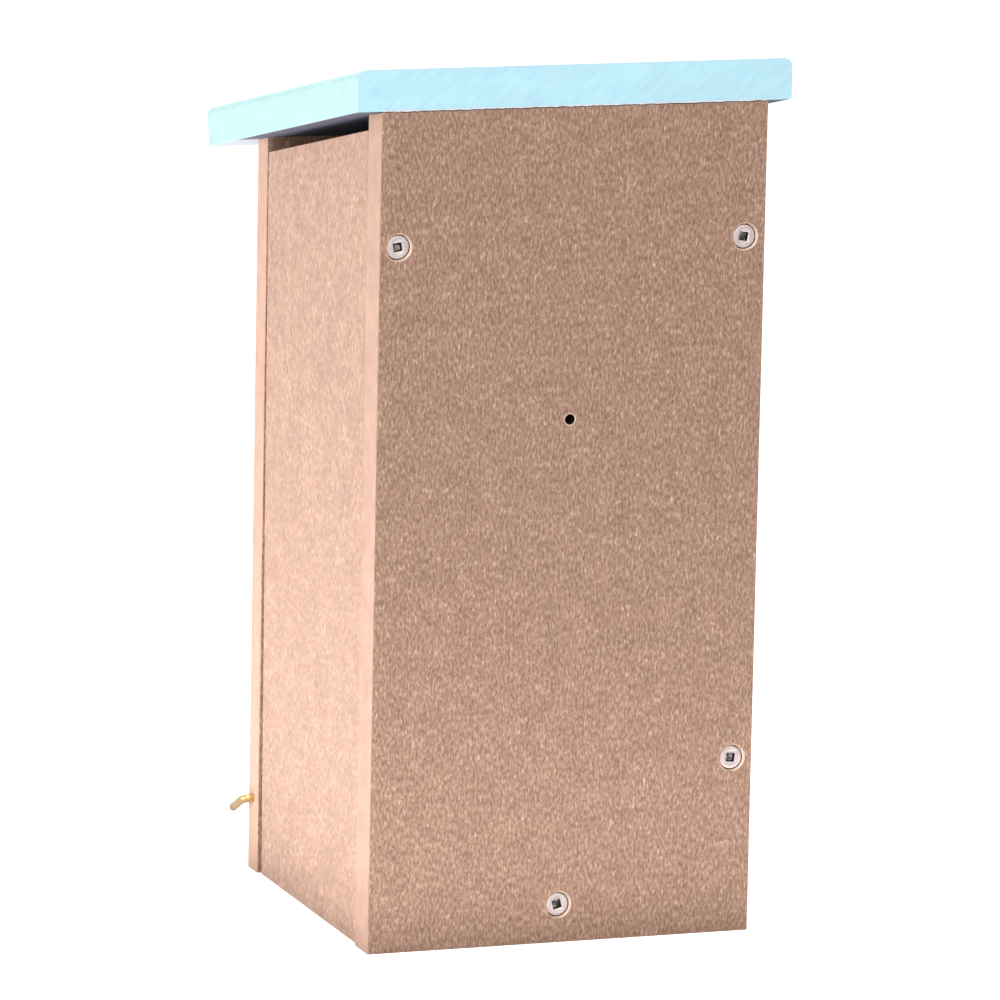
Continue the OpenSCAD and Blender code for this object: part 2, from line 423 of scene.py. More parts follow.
def start_round(name, sides, radius):
    """A round face at the origin that looks up, in edit mode with its face selected."""
    clear_selection()
    bpy.ops.mesh.primitive_circle_add(vertices=sides, radius=radius, fill_type="NGON")
    piece = bpy.context.object
    piece.name = name
    edit_all("FACE")
    return piece


def extrude(step):
    """Draws the selected end out by a step."""
    bpy.ops.mesh.extrude_region_move(TRANSFORM_OT_translate={"value": step})


def draw_profile(profile):
    """Draws the selected face on through (height, radius) points, from the first to the last."""
    for (height, radius), (next_height, next_radius) in zip(profile, profile[1:]):
        extrude((0.0, 0.0, next_height - height))
        ratio = next_radius / radius
        bpy.ops.transform.resize(
            value=(ratio, ratio, 1.0), center_override=(0.0, 0.0, next_height)
        )


def close_solid(crease):
    """Merges doubles, turns the faces outwards, leaves edit mode and smooths up to a crease."""
    bpy.ops.mesh.select_all(action="SELECT")
    bpy.ops.mesh.remove_doubles(threshold=MERGE_DISTANCE)
    bpy.ops.mesh.normals_make_consistent(inside=False)
    bpy.ops.object.mode_set(mode="OBJECT")
    bpy.ops.object.shade_smooth_by_angle(angle=crease)


def join(*pieces):
    """Makes the pieces one, with the first one's name."""
    only(*pieces)
    bpy.ops.object.join()


def apply_modifiers(piece):
    """Applies the piece's modifiers in order."""
    only(piece)
    for modifier in list(piece.modifiers):
        bpy.ops.object.modifier_apply(modifier=modifier.name)


def copy_to(model, name, place):
    """A copy of the model with a mesh of its own, put in its place in that mesh."""
    only(model)
    bpy.ops.object.duplicate()
    piece = bpy.context.object
    piece.name = name
    piece.data.name = name
    piece.matrix_world = place
    bpy.ops.object.transform_apply(location=True, rotation=True, scale=True)
    return piece


def discard(model):
    """Deletes a model that has done its work."""
    only(model)
    bpy.ops.object.delete()


def back_top():
    """Height of the back panel's top, where the roof's underside meets the rear face."""
    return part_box("back_panel")[1][2]


def panel_front():
    """Depth of the front panel's outer face."""
    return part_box("front_panel")[0][1]


def head_place(node_name):
    """The middle of a screw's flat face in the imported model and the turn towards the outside."""
    turn = FACE_TURNS[SCREW_PLACES[node_name][0]]
    outward = turn @ Vector((0.0, 0.0, 1.0))
    points = [vertex.co for vertex in frame["nodes"][node_name].data.vertices]
    level = max(point.dot(outward) for point in points)
    rim = [point for point in points if point.dot(outward) > level - 0.01 * MM]
    low = Vector(tuple(min(point[axis] for point in rim) for axis in range(3)))
    high = Vector(tuple(max(point[axis] for point in rim) for axis in range(3)))
    return Matrix.Translation((low + high) / 2.0) @ turn


# Settings that a user would change


def tint(name, description, default):
    """A colour setting."""
    return FloatVectorProperty(
        name=name, description=description, subtype="COLOR", size=3, min=0.0, max=1.0,
        default=default,
    )


def size(name, description, default, low, high):
    """A length setting and its limits, given in millimetres."""
    return FloatProperty(
        name=name, description=description, unit="LENGTH", precision=5,
        default=default * MM, min=low * MM, max=high * MM,
    )


def angle(name, description, degrees):
    """An angle setting, given in degrees."""
    return FloatProperty(
        name=name, description=description, subtype="ANGLE", default=math.radians(degrees)
    )


def amount(name, description, default, low, high):
    """A plain number and its limits."""
    return FloatProperty(
        name=name, description=description, default=default, min=low, max=high
    )


class BoardLook(bpy.types.PropertyGroup):
    """Colours and fleck sizes of the tan recycled plastic boards."""

    middle: tint("Board colour", "Colour between the flecks", (0.36, 0.211, 0.141))
    dark: tint("Dark flecks", "Colour of the dark flecks", (0.235, 0.125, 0.074))
    pale: tint("Pale flecks", "Colour of the pale flecks", (0.53, 0.345, 0.255))
    wisp: tint("Wisps", "Colour of the palest thin wisps", (0.68, 0.49, 0.385))
    torn: tint("Torn lips", "Colour of the torn lips round the drilled holes", (0.9, 0.67, 0.52))
    sawn: tint("Sawn edges", "Colour of the sawn edges", (0.42, 0.25, 0.176))
    fleck_width: size("Fleck width", "Distance across the grain from fleck to fleck", 0.8, 0.3, 5)
    fleck_length: size("Fleck length", "Distance along the grain from fleck to fleck", 1.9, 0.5, 12)
    sway: size("Sway", "How far the flecks wander from straight lines", 0.7, 0.0, 4)


class RoofLook(bpy.types.PropertyGroup):
    """Colours of the light blue roof board."""

    face: tint("Roof top", "Colour of the top", (0.46, 0.69, 0.745))
    long_edge: tint("Long edges", "Colour of the smooth long edges", (0.355, 0.535, 0.53))
    sawn: tint("Sawn ends", "Colour of the sawn ends", (0.55, 0.87, 0.935))
    sawn_deep: tint("Saw marks", "Colour of the deeper saw marks", (0.465, 0.77, 0.93))
    # Painted shade: the underside is coloured greyer and darker than the top, and darker still behind
    # the front panel
    under: tint("Underside", "Colour of the underside's front overhang", (0.46, 0.48, 0.56))
    painted_shade_over_box: tint(
        "Underside over the box", "Colour of the underside behind the front panel",
        (0.115, 0.118, 0.162),
    )
    torn: tint("Torn edges", "Colour of the torn lips and of the saw burr", (0.88, 0.86, 0.92))


class ScrewShape(bpy.types.PropertyGroup):
    """Sizes and colour of the flat-head screws."""

    head_diameter: size("Head", "Diameter of the flat head", 7.6, 6, 10)
    head_rim: size("Rim", "Height of the head's rim", 0.45, 0.1, 1)
    cone_height: size("Cone", "Height of the head's cone under its rim", 1.95, 1, 4)
    length: size("Length", "Length of the screw", 38, 20, 50)
    neck_diameter: size("Neck", "Diameter of the plain neck", 3.2, 2, 4)
    core_diameter: size("Core", "Diameter inside the thread", 2.7, 2, 4)
    thread_diameter: size("Thread", "Diameter over the thread", 4.1, 3, 5)
    pitch: size("Pitch", "Rise of the thread in one turn", 2.8, 1, 4)
    drive_width: size("Drive", "Width across the flats of the square drive", 2.9, 2, 3.5)
    drive_depth: size("Drive depth", "Depth of the square drive", 1.9, 1, 3)
    color: tint("Steel", "Colour of the stainless steel", (0.79, 0.68, 0.645))
    # Painted shade: the drive's walls are coloured dark, and its floor darker than the steel with
    # lighter painted glints
    drive_color: tint("Drive", "Colour of the drive's shaded walls", (0.05, 0.035, 0.035))
    drive_glint: tint(
        "Drive floor", "Colour of the lighter spots on the drive's floor",
        (0.62, 0.55, 0.56),
    )
    countersink: size("Countersink", "Diameter of the countersink at the board's face", 9.2, 7, 12)
    hole_lip_diameter: size(
        "Mounting hole lip", "Diameter of the torn lip round the mounting hole",
        3.8, 3, 6,
    )


class HookShape(bpy.types.PropertyGroup):
    """Sizes of the latch hook."""

    rod_diameter: size("Rod", "Diameter of the rod", 2.8, 2, 4)
    reach: size("Reach", "Distance from the box to the middle of the arm", 3.4, 2.5, 8)
    bend_radius: size("Bend", "Radius of the bend at the rod's middle", 2.4, 1.5, 4)
    arm: size("Arm", "Length of the arm from the shank's middle", 12.8, 8, 20)
    depth: size("Depth", "Length of the shank inside the front panel", 18, 10, 25)
    dip: angle("Dip", "How far the arm points below the level at rest", 26)
    pitch: size("Pitch", "Rise of the thread in one turn", 1.4, 0.8, 2)


class Studio(bpy.types.PropertyGroup):
    """Camera, lamps and floor."""

    target: FloatVectorProperty(
        name="Target", description="Point that the camera looks at", subtype="XYZ",
        unit="LENGTH", size=3, default=(0.02364, 0.0, -0.02563),
    )
    yaw: angle("Yaw", "Camera's turn from the rear face's direction towards the door", 19.67)
    pitch: angle("Pitch", "Camera's height above the level, as an angle", 10.916)
    roll: angle("Roll", "Camera's turn about its own line of sight", 1.156)
    distance: FloatProperty(
        name="Distance", description="Distance from the camera to its target",
        unit="LENGTH", default=2.707, min=0.5, max=10.0,
    )
    lens: amount("Lens", "Focal length in millimetres on a 36 mm sensor", 299.63, 20.0, 600.0)
    floor_size: FloatProperty(
        name="Floor", description="Width of the floor",
        unit="LENGTH", default=14.0, min=2.0, max=40.0,
    )
    key_power: amount("Key lamp", "Power of the lamp beside the door, in watts", 3.65, 0.0, 200.0)
    fill_power: amount(
        "Fill lamp", "Power of the broad lamp behind the camera, in watts",
        12.3, 0.0, 400.0,
    )
    top_power: amount("Top lamp", "Power of the broad lamp overhead, in watts", 15.0, 0.0, 400.0)
    floor_glow: amount(
        "Floor glow", "Strength of the light that comes up from the floor",
        1.0, 0.0, 10.0,
    )
    ambient: amount("Room light", "Strength of the light from all round", 0.54, 0.0, 2.0)
    floor_white: amount("Floor white", "Light that only the camera sees on the floor", 0.65, 0.0, 2.0)


class NestBoxSettings(bpy.types.PropertyGroup):
    """All settings of the nest box."""

    boards: PointerProperty(type=BoardLook)
    roof: PointerProperty(type=RoofLook)
    screws: PointerProperty(type=ScrewShape)
    hook: PointerProperty(type=HookShape)
    studio: PointerProperty(type=Studio)


# Finishes


def board_material(name, look, face_axis, grain_axis, shift, contrast, sawn_tone):
    """Flecked recycled plastic: flecks along the grain on the broad faces, plainer sawn edges."""
    material, tree, shader = new_material(name)
    grain_turns = {"Z": (0.0, 0.0, 0.0), "Y": (math.radians(90), 0.0, 0.0)}
    along = stretch(tree, own_coords(tree), NO_STRETCH, shift, grain_turns[grain_axis])

    wander = add_node(tree, "ShaderNodeTexNoise", {"Vector": along, "Scale": 170.0, "Detail": 1.0})
    centred = vector_math(tree, "SUBTRACT", wander.outputs["Color"], grey(0.5))
    moved = vector_math(tree, "MULTIPLY_ADD", centred, (look.sway, look.sway, 0.0), along)
    across = 1.0 / look.fleck_width
    fleck_coords = stretch(tree, moved, (across, across, 1.0 / look.fleck_length))
    flecks = noise_value(tree, fleck_coords, 1.0, detail=2.0, roughness=0.6)
    face_color = ramp(tree, flecks, [(0.3, look.dark), (0.5, look.middle), (0.7, look.pale)])
    wisp_coords = stretch(tree, fleck_coords, (1.25, 1.25, 0.85), shift=(7.3, 2.9, 5.1))
    wisps = spread(tree, noise_value(tree, wisp_coords, 1.0, detail=1.0), 0.62, 0.78)
    face_color = mix_colors(tree, wisps, face_color, look.wisp)
    face_color = mix_colors(tree, contrast, look.middle, face_color)

    streaks = noise_value(tree, stretch(tree, along, (700.0, 700.0, 90.0)), 1.0, detail=2.0)
    edge_dark = dimmed(look.sawn, 0.93 * sawn_tone)
    edge_pale = dimmed(look.sawn, 1.07 * sawn_tone)
    edge_color = mix_colors(tree, spread(tree, streaks, 0.25, 0.75), edge_dark, edge_pale)

    parts = add_node(tree, "ShaderNodeSeparateXYZ", {0: own_normal(tree)})
    facing = math_node(tree, "ABSOLUTE", parts.outputs[face_axis])
    on_face = spread(tree, facing, 0.88, 0.97)
    color = mix_colors(tree, on_face, edge_color, face_color)

    cloud = noise_value(tree, along, 130.0, detail=3.0)
    cloud_tone = ramp(tree, cloud, [(0.3, (0.91, 0.9, 0.89)), (0.7, (1.09, 1.1, 1.11))])
    color = mix_colors(tree, 1.0, color, cloud_tone, "MULTIPLY")
    tree.links.new(color, shader.inputs["Base Color"])

    roughen(tree, shader, noise_value(tree, along, 700.0, detail=1.0), 0.52, 0.66)
    grain = noise_value(tree, along, 2600.0, detail=2.0)
    relief = math_node(tree, "ADD", math_node(tree, "MULTIPLY", flecks, 0.6), grain)
    add_relief(tree, shader, relief, 0.35, BOARD_RELIEF)
    shader.inputs["IOR"].default_value = PLASTIC_IOR
    shader.inputs["Sheen Weight"].default_value = 0.08
    shader.inputs["Sheen Tint"].default_value = (0.6, 0.8, 1.0, 1.0)
    return material


def roof_material(look):
    """Light blue recycled plastic, paler on its sawn ends with slanting saw marks there, and painted
    shade underneath.
    """
    material, tree, shader = new_material("roof_blue")
    place = own_coords(tree)
    level = stretch(tree, place, NO_STRETCH, turn=(-ROOF_SLOPE, 0.0, 0.0))
    cloud = noise_value(tree, stretch(tree, level, (45.0, 90.0, 120.0)), 1.0, detail=2.0)
    cloud_tone = ramp(tree, cloud, [(0.3, grey(0.96)), (0.7, grey(1.03))])

    turned = stretch(tree, level, NO_STRETCH, turn=(0.0, SAW_TURN, 0.0))
    sway = noise_value(tree, stretch(tree, level, (90.0, 0.0, 90.0)), 1.0, detail=1.0)
    bent = vector_math(tree, "MULTIPLY_ADD", sway, (0.0, 0.0, SAW_SWAY), turned)
    saw = stretch(tree, bent, (90.0, 0.0, 620.0))
    saw_marks = noise_value(tree, saw, 1.0, detail=4.0, roughness=0.65)
    sawn_color = ramp(tree, saw_marks, [(0.25, look.sawn_deep), (0.65, look.sawn)])
    sawn_color = mix_colors(tree, 1.0, sawn_color, cloud_tone, "MULTIPLY")

    parts = add_node(tree, "ShaderNodeSeparateXYZ", {0: own_normal(tree)})
    at_edge = spread(tree, math_node(tree, "ABSOLUTE", parts.outputs["X"]), 0.5, 0.9)
    face_color = mix_colors(tree, at_edge, look.face, look.long_edge)
    face_color = mix_colors(tree, 1.0, face_color, cloud_tone, "MULTIPLY")
    at_end = spread(tree, math_node(tree, "ABSOLUTE", parts.outputs["Y"]), 0.6, 0.9)
    color = mix_colors(tree, at_end, face_color, sawn_color)
    # Painted shade underneath: greyer and darker than the top, darkest behind the front panel's outer
    # face
    below = spread(tree, parts.outputs["Z"], -0.6, -0.9)
    spot = add_node(tree, "ShaderNodeSeparateXYZ", {0: place})
    front = spread(tree, spot.outputs["Y"], panel_front() + UNDER_BLEND, panel_front())
    under = mix_colors(tree, front, look.painted_shade_over_box, look.under)
    color = mix_colors(tree, below, color, under)
    tree.links.new(color, shader.inputs["Base Color"])

    roughen(tree, shader, noise_value(tree, level, 500.0, detail=1.0), 0.48, 0.6)
    grain = noise_value(tree, level, 2200.0, detail=2.0)
    relief = math_node(tree, "MULTIPLY_ADD", saw_marks, at_end, grain)
    add_relief(tree, shader, relief, 0.3, BOARD_RELIEF)
    shader.inputs["IOR"].default_value = PLASTIC_IOR
    flat = spread(tree, math_node(tree, "ABSOLUTE", parts.outputs["Z"]), 0.6, 0.9)
    gloss = math_node(tree, "MULTIPLY_ADD", flat, ROOF_FLAT_GLOSS - ROOF_EDGE_GLOSS, ROOF_EDGE_GLOSS)
    tree.links.new(gloss, shader.inputs["Specular IOR Level"])
    return material


def specked_material(name, scale, detail, stops, roughness, metallic, relief=None):
    """A material whose colour, roughness and relief follow one pattern of specks."""
    material, tree, shader = new_material(name)
    specks = noise_value(tree, own_coords(tree), scale, detail=detail)
    paint(tree, shader, specks, stops)
    roughen(tree, shader, specks, *roughness)
    if relief:
        add_relief(tree, shader, specks, *relief)
    shader.inputs["Metallic"].default_value = metallic
    return material


def steel_material(color):
    """Satin stainless steel with fine pressing marks."""
    stops = [(0.36, dimmed(color, 0.76)), (0.56, color)]
    relief = (0.25, METAL_RELIEF)
    return specked_material("screw_steel", 3200.0, 3.0, stops, (0.42, 0.3), 1.0, relief)


def shade_material(name, color, speck_scale, dimming):
    """Painted shade: a dull surface for places that little light reaches, with specks of that
    dimming.
    """
    stops = [(0.42, dimmed(color, dimming)), (0.6, color)]
    return specked_material(name, speck_scale, 2.0, stops, (0.75, 0.6), 0.4)


def torn_material(name, color):
    """Torn plastic, or the painted shade in the roof's seam, with a rough broken surface."""
    stops = [(0.3, dimmed(color, 0.8)), (0.6, color)]
    return specked_material(name, 1500.0, 3.0, stops, (0.8, 0.65), 0.0, (0.5, TORN_RELIEF))


def brass_material():
    """Bright drawn brass with faint marks along the rod."""
    material, tree, shader = new_material("hook_brass")
    drawn = stretch(tree, own_coords(tree), (900.0, 2400.0, 2400.0))
    marks = noise_value(tree, drawn, 1.0, detail=3.0)
    paint(tree, shader, marks, [(0.3, (0.5, 0.33, 0.12)), (0.65, (0.74, 0.54, 0.25))])
    roughen(tree, shader, marks, 0.4, 0.24)
    add_relief(tree, shader, marks, 0.25, METAL_RELIEF)
    shader.inputs["Metallic"].default_value = 1.0
    return material


# Operators


class NESTBOX_OT_finish_boards(bpy.types.Operator):
    """Gives the five tan boards their flecked finish"""

    bl_idname = "nestbox.finish_boards"
    bl_label = "Finish Boards"

    def execute(self, context):
        look = context.scene.nest_box.boards
        for node_name, settings in BOARDS.items():
            set_finish(node_name, board_material(f"tan_{node_name}", look, *settings))
        return {"FINISHED"}


class NESTBOX_OT_finish_roof(bpy.types.Operator):
    """Gives the roof board its light blue finish"""

    bl_idname = "nestbox.finish_roof"
    bl_label = "Finish Roof"

    def execute(self, context):
        set_finish("roof_panel", roof_material(context.scene.nest_box.roof))
        return {"FINISHED"}


def model_drive_cutter(shape):
    """The square drive's hollow: an eased mouth, slightly tapered walls and a shallow point."""
    mouth = shape.drive_width / 2.0
    clear_selection()
    bpy.ops.mesh.primitive_plane_add(size=2.0 * mouth * DRIVE_FLARE)
    cutter = bpy.context.object
    edit_all("VERT")
    bpy.ops.mesh.bevel(offset=DRIVE_CORNER, segments=3, affect="VERTICES")
    edit_all("FACE")
    bpy.ops.transform.translate(value=(0.0, 0.0, DRIVE_EASE))
    draw_profile(
        (
            (DRIVE_EASE, mouth * DRIVE_FLARE),
            (-DRIVE_EASE, mouth),
            (-shape.drive_depth, mouth * DRIVE_TAPER),
            (-shape.drive_depth - DRIVE_HOLLOW, mouth * 0.1),
        )
    )
    close_solid(math.radians(30))
    return cutter


def model_thread(core, crest, pitch, top, turns):
    """A thread's ridge: a three-sided profile wound down the core from top, along -Z."""
    root = core - 0.1 * MM
    clear_selection()
    bpy.ops.mesh.primitive_circle_add(vertices=3, radius=1.0)
    thread = bpy.context.object
    thread.name = "thread_model"
    edit_all("VERT")
    bpy.ops.transform.rotate(value=math.radians(-90), orient_axis="Z", center_override=(0, 0, 0))
    bpy.ops.transform.rotate(value=math.radians(90), orient_axis="X", center_override=(0, 0, 0))
    # A three-sided circle of radius 1 is 1.5 across
    bpy.ops.transform.resize(
        value=((crest - root) / 1.5, 1.0, 0.2 * pitch), center_override=(0, 0, 0)
    )
    bpy.ops.object.mode_set(mode="OBJECT")
    inner = min(vertex.co.x for vertex in thread.data.vertices)
    bpy.ops.object.mode_set(mode="EDIT")
    bpy.ops.transform.translate(value=(root - inner, 0.0, top))
    bpy.ops.object.mode_set(mode="OBJECT")
    winding = thread.modifiers.new("winding", "SCREW")
    winding.axis = "Z"
    winding.angle = math.radians(360)
    winding.screw_offset = -pitch
    winding.iterations = turns
    winding.steps = winding.render_steps = THREAD_STEPS
    apply_modifiers(thread)
    edit_all("EDGE")
    bpy.ops.mesh.fill_holes(sides=3)
    close_solid(math.radians(40))
    return thread


def mark_faces(piece, slot_index, chosen):
    """Gives that material slot to the piece's faces that chosen() picks by their middles."""
    select_where(piece, "FACE", lambda face: chosen(face.center))
    piece.active_material_index = slot_index
    bpy.ops.object.material_slot_assign()
    bpy.ops.object.mode_set(mode="OBJECT")


def mark_recess(screw, shape):
    """Gives the drive's walls the screw's second material, painted shade, and its floor the third,
    painted shade with painted glints.
    """
    reach = shape.drive_width / 2.0 * DRIVE_FLARE
    deepest = -shape.drive_depth - 2.0 * DRIVE_HOLLOW

    def inside(middle, top):
        return max(abs(middle.x), abs(middle.y)) < reach and deepest < middle.z < top

    mark_faces(screw, 1, lambda middle: inside(middle, -DRIVE_EASE))
    mark_faces(screw, 2, lambda middle: inside(middle, -0.98 * shape.drive_depth))


def model_screw(shape, steel, shade, glint):
    """One flat-head screw with a square drive, its face at the origin and its point down."""
    head = shape.head_diameter / 2.0
    neck = shape.neck_diameter / 2.0
    core = shape.core_diameter / 2.0
    ease = 0.15 * MM
    cone_end = -(shape.head_rim + shape.cone_height)
    neck_end = cone_end - THREAD_START + shape.pitch
    screw = start_round("screw_model", ROUND_SIDES, head - ease)
    draw_profile(
        (
            (0.0, head - ease),
            (-0.35 * ease, head - 0.25 * ease),
            (-ease, head),
            (-shape.head_rim, head),
            (cone_end, 1.15 * neck),
            (cone_end - 0.6 * MM, neck),
            (neck_end, neck),
            (neck_end - 0.5 * MM, core),
            (-shape.length + TIP_LENGTH, core),
            (-shape.length + 0.35 * TIP_LENGTH, 0.45 * core),
            (-shape.length, 0.04 * core),
        )
    )
    close_solid(math.radians(32))

    cutter = model_drive_cutter(shape)
    for material in (steel, shade, glint):
        screw.data.materials.append(material)
    recess = screw.modifiers.new("recess", "BOOLEAN")
    recess.operation = "DIFFERENCE"
    recess.solver = "EXACT"
    recess.object = cutter
    apply_modifiers(screw)
    discard(cutter)

    mark_recess(screw, shape)

    top = cone_end - THREAD_START
    room = shape.length + top - shape.pitch - TIP_LENGTH
    crest = shape.thread_diameter / 2.0
    thread = model_thread(core, crest, shape.pitch, top, int(room / shape.pitch))
    join(screw, thread)
    return screw


class NESTBOX_OT_build_screws(bpy.types.Operator):
    """Builds the flat-head square-drive screws from one model, each in its place"""

    bl_idname = "nestbox.build_screws"
    bl_label = "Build Screws"

    def execute(self, context):
        shape = context.scene.nest_box.screws
        steel = steel_material(shape.color)
        # The drive's walls get painted shade, and its floor painted shade with painted glints
        shade = shade_material("drive_shade", shape.drive_color, 2600.0, 0.6)
        glint = shade_material("drive_glint", shape.drive_glint, 900.0, 0.12)
        model = model_screw(shape, steel, shade, glint)
        for node_name, (_, drive_turn) in SCREW_PLACES.items():
            drive = Matrix.Rotation(math.radians(drive_turn), 4, "Z")
            screw = copy_to(model, f"detailed_{node_name}", head_place(node_name) @ drive)
            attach(screw, DOOR_BODY if node_name in DOOR_SCREWS else BOX_BODY)
            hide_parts(node_name)
        discard(model)
        return {"FINISHED"}


def model_hook(shape):
    """The square-bend hook: the arm's end at the origin, the arm down along -Z, the shank to -X."""
    rod = shape.rod_diameter / 2.0
    ease = 0.4 * MM
    straight = shape.arm - shape.bend_radius
    hook = start_round("hook_model", HOOK_SIDES, rod - ease)
    draw_profile(
        ((0.0, rod - ease), (-0.25 * ease, rod - 0.4 * ease), (-ease, rod), (-straight, rod))
    )
    bpy.ops.mesh.spin(
        steps=10,
        angle=math.radians(-90),
        center=(-shape.bend_radius, 0.0, -straight),
        axis=(0.0, 1.0, 0.0),
    )
    neck = shape.reach - shape.bend_radius + HOOK_NECK
    extrude((-neck, 0.0, 0.0))
    end = shape.reach + shape.depth
    center = (-shape.bend_radius - neck, 0.0, -shape.arm)
    extrude((-HOOK_STEP, 0.0, 0.0))
    bpy.ops.transform.resize(value=(1.0, HOOK_CORE, HOOK_CORE), center_override=center)
    core_length = end - shape.bend_radius - neck - HOOK_STEP - HOOK_POINT
    extrude((-core_length, 0.0, 0.0))
    extrude((-HOOK_POINT, 0.0, 0.0))
    bpy.ops.transform.resize(value=(1.0, 0.1, 0.1), center_override=center)
    close_solid(math.radians(35))

    turns = int((core_length - shape.pitch) / shape.pitch)
    thread = model_thread(HOOK_CORE * rod, rod, shape.pitch, 0.0, turns)
    thread.matrix_world = (
        Matrix.Translation(Vector(center) - Vector((HOOK_THREAD_START, 0.0, 0.0)))
        @ Matrix.Rotation(math.radians(90), 4, "Y")
    )
    only(thread)
    bpy.ops.object.transform_apply(location=True, rotation=True, scale=True)
    join(hook, thread)
    return hook


def hook_place(shape):
    """Where the hook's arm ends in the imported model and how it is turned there."""
    joint = next(item for item in frame["joints"] if item["name"] == "latch_turn")
    turn = Matrix.Rotation(math.radians(90) + shape.dip, 4, "X")
    end = Vector(joint["pos_m"]) + Vector((shape.reach, 0.0, 0.0))
    end += turn @ Vector((0.0, 0.0, shape.arm))
    return Matrix.Translation(end) @ turn


class NESTBOX_OT_build_hook(bpy.types.Operator):
    """Builds the brass square-bend latch hook"""

    bl_idname = "nestbox.build_hook"
    bl_label = "Build Latch Hook"

    def execute(self, context):
        shape = context.scene.nest_box.hook
        model = model_hook(shape)
        hook = copy_to(model, "detailed_latch_hook", hook_place(shape))
        discard(model)
        hook.data.materials.append(brass_material())
        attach(hook, LATCH_BODY)
        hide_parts("latch_hook")
        return {"FINISHED"}


def model_ring(name, material, profile, outer_shift=(0, 0, 0), inner_shift=(0, 0, 0)):
    """A closed ring about Z through (height, radius) points, its two rims moved off centre."""
    clear_selection()
    bpy.ops.mesh.primitive_circle_add(vertices=ROUND_SIDES, radius=profile[0][1])
    ring = bpy.context.object
    ring.name = name
    edit_all("EDGE")
    bpy.ops.transform.translate(value=(0.0, 0.0, profile[0][0]))
    draw_profile((*profile, profile[0]))
    bpy.ops.mesh.select_all(action="SELECT")
    bpy.ops.mesh.remove_doubles(threshold=MERGE_DISTANCE)
    bpy.ops.object.mode_set(mode="OBJECT")
    radii = [radius for _, radius in profile]
    middle = (min(radii) + max(radii)) / 2.0
    in_outer_rim = [vertex.co.xy.length > middle for vertex in ring.data.vertices]
    for outer, shift in ((True, outer_shift), (False, inner_shift)):
        select_where(ring, "VERT", lambda vertex: in_outer_rim[vertex.index] == outer)
        if any(shift):
            bpy.ops.transform.translate(value=shift)
        bpy.ops.object.mode_set(mode="OBJECT")
    bpy.ops.object.mode_set(mode="EDIT")
    close_solid(math.radians(40))
    ring.data.materials.append(material)
    return ring


def model_lip(shape, board, torn, shade):
    """What a driven screw leaves round its head: board plastic pressed up to the head on one
    side, the pale cut wall and its torn edge on the other, and a dark ring of painted shade in
    the gap under the head's rim. The board's face is at the origin."""
    edge = shape.countersink / 2.0
    head = shape.head_diameter / 2.0
    foot = HEAD_SINK + 0.05 * MM
    wall_foot = edge - foot * math.tan(math.radians(CUTTER_ANGLE / 2.0))
    inner = (head + edge) / 2.0
    pressed = model_ring(
        "pressed_model",
        board,
        (
            (0.03 * MM, inner),
            (0.03 * MM, edge + 0.15 * MM),
            (-0.02 * MM, edge + 0.25 * MM),
            (-0.1 * MM, edge + 0.2 * MM),
            (-foot, inner),
        ),
        inner_shift=(-(edge - inner) * 0.96, 0.16 * MM, 0.0),
    )

    torn_edge = model_ring(
        "torn_edge_model",
        torn,
        (
            (0.06 * MM, edge - 0.1 * MM),
            (0.05 * MM, edge + 0.08 * MM),
            (-0.03 * MM, edge + 0.08 * MM),
            (-0.03 * MM, edge - 0.1 * MM),
        ),
        outer_shift=(-0.24 * MM, 0.03 * MM, 0.0),
        inner_shift=(-0.1 * MM, 0.01 * MM, 0.0),
    )

    wall = model_ring(
        "cut_wall_model",
        torn,
        (
            (-foot, wall_foot - 0.06 * MM),
            (0.0, edge - 0.06 * MM),
            (-0.02 * MM, edge + 0.06 * MM),
            (-foot - 0.04 * MM, wall_foot + 0.06 * MM),
        ),
    )

    # Painted shadow: a dark ring in the gap under the head's rim, set off to the side where the rim's
    # shadow falls
    gap = (wall_foot - head) / 2.0
    groove = model_ring(
        "gap_model",
        shade,
        (
            (-foot, head + 0.03 * MM),
            (-foot, head + 1.1 * gap),
            (-foot - 0.1 * MM, head + 1.1 * gap),
            (-foot - 0.1 * MM, head + 0.03 * MM),
        ),
        outer_shift=(-0.65 * gap, 0.65 * gap, 0.0),
    )
    join(pressed, torn_edge, wall, groove)
    return pressed


def tear(lip, reach, seed):
    """Moves the lip's points a little at random, each lip in its own way."""
    only(lip)
    edit_all("VERT")
    bpy.ops.transform.vertex_random(offset=reach, uniform=1.0, seed=seed)
    bpy.ops.mesh.normals_make_consistent(inside=False)
    bpy.ops.object.mode_set(mode="OBJECT")


def model_hole_lip(shape, torn, shade):
    """The mounting hole's torn mouth and, behind it, its drilled wall lined with painted shade."""
    edge = shape.hole_lip_diameter / 2.0
    mouth = model_ring(
        "hole_lip_model",
        torn,
        (
            (-0.3 * MM, edge - 0.16 * MM),
            (0.04 * MM, edge - 0.06 * MM),
            (0.07 * MM, edge + 0.08 * MM),
            (-0.03 * MM, edge + 0.22 * MM),
            (-0.3 * MM, edge + 0.1 * MM),
        ),
    )
    tear(mouth, HOLE_LIP_TEAR, HOLE_LIP_SEED)

    # Painted shade: a dark lining on the drilled wall, where little light reaches
    bore = edge - 0.13 * MM
    board_side = bore + 0.08 * MM
    top = -0.25 * MM
    drilled_wall = model_ring(
        "drilled_wall_model",
        shade,
        (
            (-DRILLED_WALL_END, bore),
            (top, bore),
            (top, board_side),
            (-DRILLED_WALL_END, board_side),
        ),
    )
    join(mouth, drilled_wall)
    return mouth


